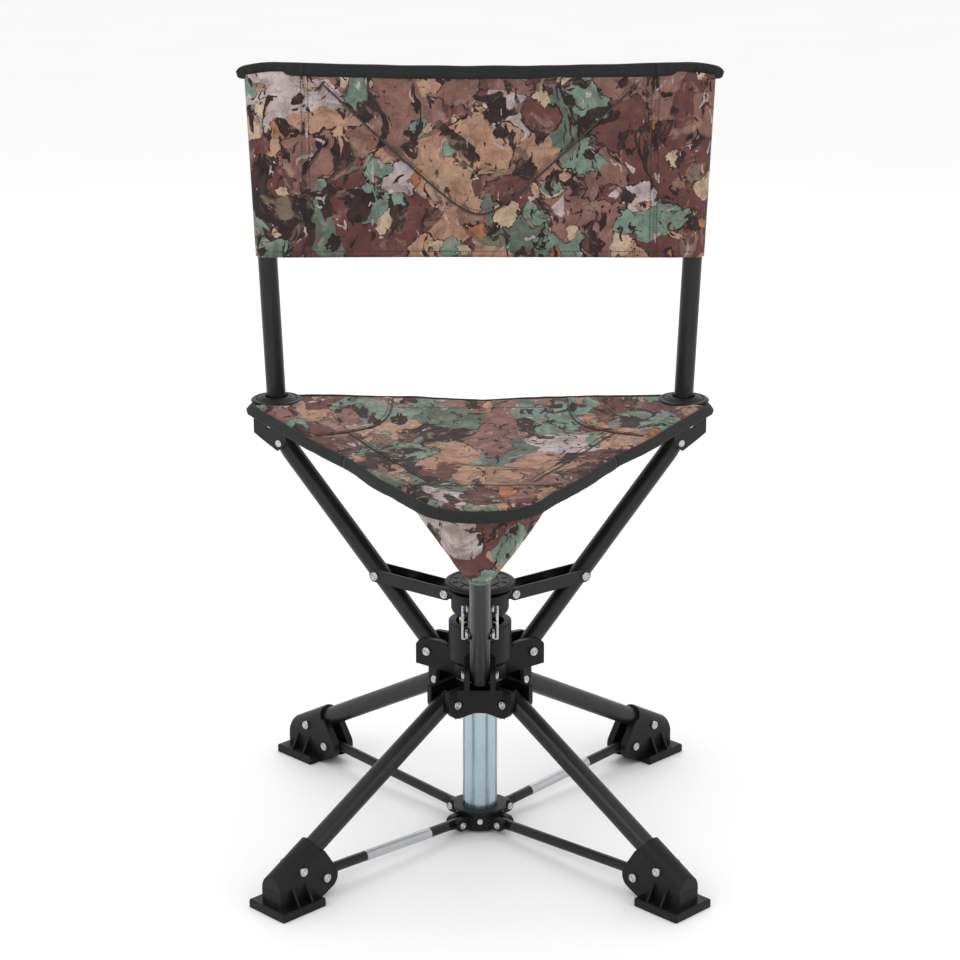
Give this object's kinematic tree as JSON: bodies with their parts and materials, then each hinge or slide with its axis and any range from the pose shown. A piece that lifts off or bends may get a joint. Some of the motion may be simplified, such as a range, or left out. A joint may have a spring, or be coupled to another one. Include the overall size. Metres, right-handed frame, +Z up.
{
  "type": "folding swivel hunting chair",
  "caption": "Folding swivel chair with splayed legs on hinged feet, a zinc post, a triangular camo seat and a camo back band on uprights.",
  "frame": {"origin": "on the floor, on the axis of the post about which the seat turns", "axes": "+Z up, the sitter faces -Y, +X to the right seen from the front"},
  "size_m": [0.5286, 0.5276, 0.8504],
  "materials": {
    "zinc_tube": "bright zinc plate, lightly drawn",
    "powder_coat": "satin black powder coat",
    "black_plastic": "moulded, fine texture",
    "washer_plastic": "natural nylon",
    "zinc_fastener": "bright zinc",
    "cream_plastic": "moulded",
    "brass": "satin",
    "foil_band": "thin printed foil, left plain",
    "camo_fabric": "woven polyester with a leaf pattern"
  },
  "bodies": {
    "base": {"post": "zinc_tube", "leg_hub": "black_plastic", "leg_hub_rivets": "zinc_fastener", "thrust_washer": "washer_plastic"},
    "spider": {"spider": "black_plastic", "spider_pins": "zinc_fastener", "lock_button": "cream_plastic"},
    "strut_front_left": {"strut_front_left": "powder_coat", "strut_band_front_left": "foil_band"},
    "leg_front_left": {"leg_tube_front_left": "powder_coat", "foot_front_left": "black_plastic", "foot_bolts_front_left": "zinc_fastener"},
    "strut_front_right": {"strut_front_right": "powder_coat"},
    "leg_front_right": {"leg_tube_front_right": "powder_coat", "foot_front_right": "black_plastic", "foot_bolts_front_right": "zinc_fastener"},
    "strut_rear_right": {"strut_rear_right": "powder_coat", "strut_band_rear_right": "foil_band"},
    "leg_rear_right": {"leg_tube_rear_right": "powder_coat", "foot_rear_right": "black_plastic", "foot_bolts_rear_right": "zinc_fastener"},
    "strut_rear_left": {"strut_rear_left": "powder_coat"},
    "leg_rear_left": {"leg_tube_rear_left": "powder_coat", "foot_rear_left": "black_plastic", "foot_bolts_rear_left": "zinc_fastener"},
    "swivel_hub": {"swivel_hub": "black_plastic", "swivel_hub_rivets": "zinc_fastener", "latch_pin": "zinc_fastener"},
    "collar": {"collar": "black_plastic", "collar_cap": "black_plastic", "collar_pins": "zinc_fastener", "guide_pin": "brass"},
    "link_front": {"link_front": "powder_coat"},
    "seat_tube_front": {"seat_tube_front": "powder_coat", "link_bolt_front": "zinc_fastener", "seat_tube_front_cap": "black_plastic", "seat_front": "camo_fabric", "seat_pocket": "camo_fabric"},
    "link_right": {"link_right": "powder_coat"},
    "seat_tube_right": {"seat_tube_right": "powder_coat", "link_bolt_right": "zinc_fastener", "bracket_right": "powder_coat", "bracket_bolts_right": "zinc_fastener"},
    "upright_right": {"upright_right": "powder_coat", "seat_right": "camo_fabric", "grommet_right": "black_plastic"},
    "link_left": {"link_left": "powder_coat"},
    "seat_tube_left": {"seat_tube_left": "powder_coat", "link_bolt_left": "zinc_fastener", "bracket_left": "powder_coat", "bracket_bolts_left": "zinc_fastener"},
    "upright_left": {"upright_left": "powder_coat", "seat_left": "camo_fabric", "grommet_left": "black_plastic", "backrest": "camo_fabric"},
    "latch_lever": {"latch_lever": "black_plastic"},
    "latch_bail": {"latch_bail": "zinc_fastener"}
  },
  "joints": [
    {"name": "leg_fold_slide", "type": "slide", "parent": "base", "child": "spider", "axis": [0, 0, 1], "range_m": [0, 0.1229]},
    {"name": "strut_front_left_hinge", "type": "hinge", "parent": "spider", "child": "strut_front_left", "pos_m": [-0.02687, -0.02687, 0.013], "axis": [0.7071, -0.7071, 0], "range_deg": [0, 86.7]},
    {"name": "leg_front_left_hinge", "type": "hinge", "parent": "strut_front_left", "child": "leg_front_left", "pos_m": [-0.17678, -0.17678, 0.024], "axis": [0.7071, -0.7071, 0], "range_deg": [-34.7, 0]},
    {"name": "strut_front_right_hinge", "type": "hinge", "parent": "spider", "child": "strut_front_right", "pos_m": [0.02687, -0.02687, 0.013], "axis": [0.7071, 0.7071, 0], "range_deg": [0, 86.7]},
    {"name": "leg_front_right_hinge", "type": "hinge", "parent": "strut_front_right", "child": "leg_front_right", "pos_m": [0.17678, -0.17678, 0.024], "axis": [0.7071, 0.7071, 0], "range_deg": [-34.7, 0]},
    {"name": "strut_rear_right_hinge", "type": "hinge", "parent": "spider", "child": "strut_rear_right", "pos_m": [0.02687, 0.02687, 0.013], "axis": [-0.7071, 0.7071, 0], "range_deg": [0, 86.7]},
    {"name": "leg_rear_right_hinge", "type": "hinge", "parent": "strut_rear_right", "child": "leg_rear_right", "pos_m": [0.17678, 0.17678, 0.024], "axis": [-0.7071, 0.7071, 0], "range_deg": [-34.7, 0]},
    {"name": "strut_rear_left_hinge", "type": "hinge", "parent": "spider", "child": "strut_rear_left", "pos_m": [-0.02687, 0.02687, 0.013], "axis": [-0.7071, -0.7071, 0], "range_deg": [0, 86.7]},
    {"name": "leg_rear_left_hinge", "type": "hinge", "parent": "strut_rear_left", "child": "leg_rear_left", "pos_m": [-0.17678, 0.17678, 0.024], "axis": [-0.7071, -0.7071, 0], "range_deg": [-34.7, 0]},
    {"name": "swivel", "type": "hinge", "parent": "base", "child": "swivel_hub", "pos_m": [0, 0, 0.2], "axis": [0, 0, 1], "continuous": true},
    {"name": "seat_fold_slide", "type": "slide", "parent": "swivel_hub", "child": "collar", "axis": [0, 0, 1], "range_m": [0, 0.1195], "deforming": ["seat_front", "seat_left", "seat_right", "backrest", "seat_pocket"]},
    {"name": "link_front_hinge", "type": "hinge", "parent": "collar", "child": "link_front", "pos_m": [0, -0.0385, 0.278], "axis": [1, 0, 0], "range_deg": [0, 72.81]},
    {"name": "seat_tube_front_hinge", "type": "hinge", "parent": "link_front", "child": "seat_tube_front", "pos_m": [0, -0.1307, 0.283], "axis": [1, 0, 0], "range_deg": [-109.81, 0]},
    {"name": "link_right_hinge", "type": "hinge", "parent": "collar", "child": "link_right", "pos_m": [0.03334, 0.01925, 0.278], "axis": [-0.5, 0.866, 0], "range_deg": [0, 72.81]},
    {"name": "seat_tube_right_hinge", "type": "hinge", "parent": "link_right", "child": "seat_tube_right", "pos_m": [0.11319, 0.06535, 0.283], "axis": [-0.5, 0.866, 0], "range_deg": [-109.81, 0]},
    {"name": "upright_right_hinge", "type": "hinge", "parent": "seat_tube_right", "child": "upright_right", "pos_m": [0.23209, 0.134, 0.444], "axis": [-0.5, 0.866, 0], "range_deg": [0, 37]},
    {"name": "link_left_hinge", "type": "hinge", "parent": "collar", "child": "link_left", "pos_m": [-0.03334, 0.01925, 0.278], "axis": [-0.5, -0.866, 0], "range_deg": [0, 72.81]},
    {"name": "seat_tube_left_hinge", "type": "hinge", "parent": "link_left", "child": "seat_tube_left", "pos_m": [-0.11319, 0.06535, 0.283], "axis": [-0.5, -0.866, 0], "range_deg": [-109.81, 0]},
    {"name": "upright_left_hinge", "type": "hinge", "parent": "seat_tube_left", "child": "upright_left", "pos_m": [-0.23209, 0.134, 0.444], "axis": [-0.5, -0.866, 0], "range_deg": [0, 37]},
    {"name": "latch_lever_hinge", "type": "hinge", "parent": "swivel_hub", "child": "latch_lever", "pos_m": [0, -0.0398, 0.219], "axis": [-1, 0, 0], "range_deg": [-28, 0]},
    {"name": "latch_bail_hinge", "type": "hinge", "parent": "latch_lever", "child": "latch_bail", "pos_m": [0, -0.0398, 0.243], "axis": [-1, 0, 0], "range_deg": [-20, 0]}
  ],
  "couplings": [
    {"joint": "strut_front_left_hinge", "follows": "leg_fold_slide", "rad_per_m": 12.312},
    {"joint": "leg_front_left_hinge", "follows": "leg_fold_slide", "rad_per_m": -4.9274},
    {"joint": "strut_front_right_hinge", "follows": "leg_fold_slide", "rad_per_m": 12.312},
    {"joint": "leg_front_right_hinge", "follows": "leg_fold_slide", "rad_per_m": -4.9274},
    {"joint": "strut_rear_right_hinge", "follows": "leg_fold_slide", "rad_per_m": 12.312},
    {"joint": "leg_rear_right_hinge", "follows": "leg_fold_slide", "rad_per_m": -4.9274},
    {"joint": "strut_rear_left_hinge", "follows": "leg_fold_slide", "rad_per_m": 12.312},
    {"joint": "leg_rear_left_hinge", "follows": "leg_fold_slide", "rad_per_m": -4.9274},
    {"joint": "link_front_hinge", "follows": "seat_fold_slide", "rad_per_m": 10.634},
    {"joint": "seat_tube_front_hinge", "follows": "seat_fold_slide", "rad_per_m": -16.038},
    {"joint": "link_right_hinge", "follows": "seat_fold_slide", "rad_per_m": 10.634},
    {"joint": "seat_tube_right_hinge", "follows": "seat_fold_slide", "rad_per_m": -16.038},
    {"joint": "upright_right_hinge", "follows": "seat_fold_slide", "rad_per_m": 5.404},
    {"joint": "link_left_hinge", "follows": "seat_fold_slide", "rad_per_m": 10.634},
    {"joint": "seat_tube_left_hinge", "follows": "seat_fold_slide", "rad_per_m": -16.038},
    {"joint": "upright_left_hinge", "follows": "seat_fold_slide", "rad_per_m": 5.404}
  ]
}
